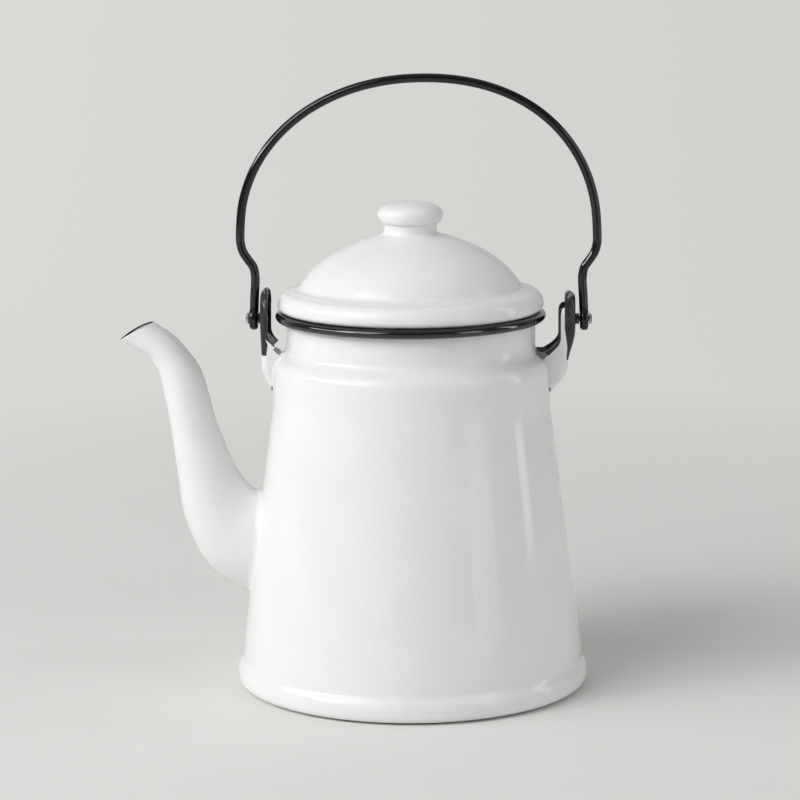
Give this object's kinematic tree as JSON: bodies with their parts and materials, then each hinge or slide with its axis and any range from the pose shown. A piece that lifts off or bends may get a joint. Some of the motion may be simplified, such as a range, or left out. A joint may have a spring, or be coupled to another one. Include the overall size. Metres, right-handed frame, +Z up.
{
  "type": "tea kettle",
  "caption": "Conical enamelled tea kettle with a gooseneck spout, a black rolled rim, a domed lift-off lid with a round knob and a swinging black wire bail.",
  "frame": {"origin": "centre of the flat underside of the base, where the kettle rests", "axes": "+Z up along the body's axis, -X towards the spout, the bail swings about an axis along X"},
  "size_m": [0.2079, 0.1524, 0.2646],
  "materials": {
    "white_enamel": "gloss",
    "black_enamel": "gloss",
    "pin_steel": "satin"
  },
  "bodies": {
    "kettle": {"body_shell": "white_enamel", "base_pan": "white_enamel", "spout_near_half": "white_enamel", "spout_far_half": "white_enamel", "ear_left": "white_enamel", "ear_right": "white_enamel", "pivot_pin_left": "pin_steel", "pivot_pin_right": "pin_steel", "burr_washer_left": "pin_steel", "burr_washer_right": "pin_steel"},
    "bail": {"bail_rod": "black_enamel"},
    "lid": {"lid_dome": "white_enamel", "lid_collar": "white_enamel", "knob_stem": "white_enamel", "knob_cap": "white_enamel"}
  },
  "joints": [
    {"name": "bail_swing", "type": "hinge", "parent": "kettle", "child": "bail", "pos_m": [0.0034, 0, 0.1596], "axis": [1, 0, 0], "range_deg": [-138, 138]},
    {"name": "lid_lift", "type": "slide", "parent": "kettle", "child": "lid", "axis": [0, 0, 1], "range_m": [0, 0.045]}
  ]
}
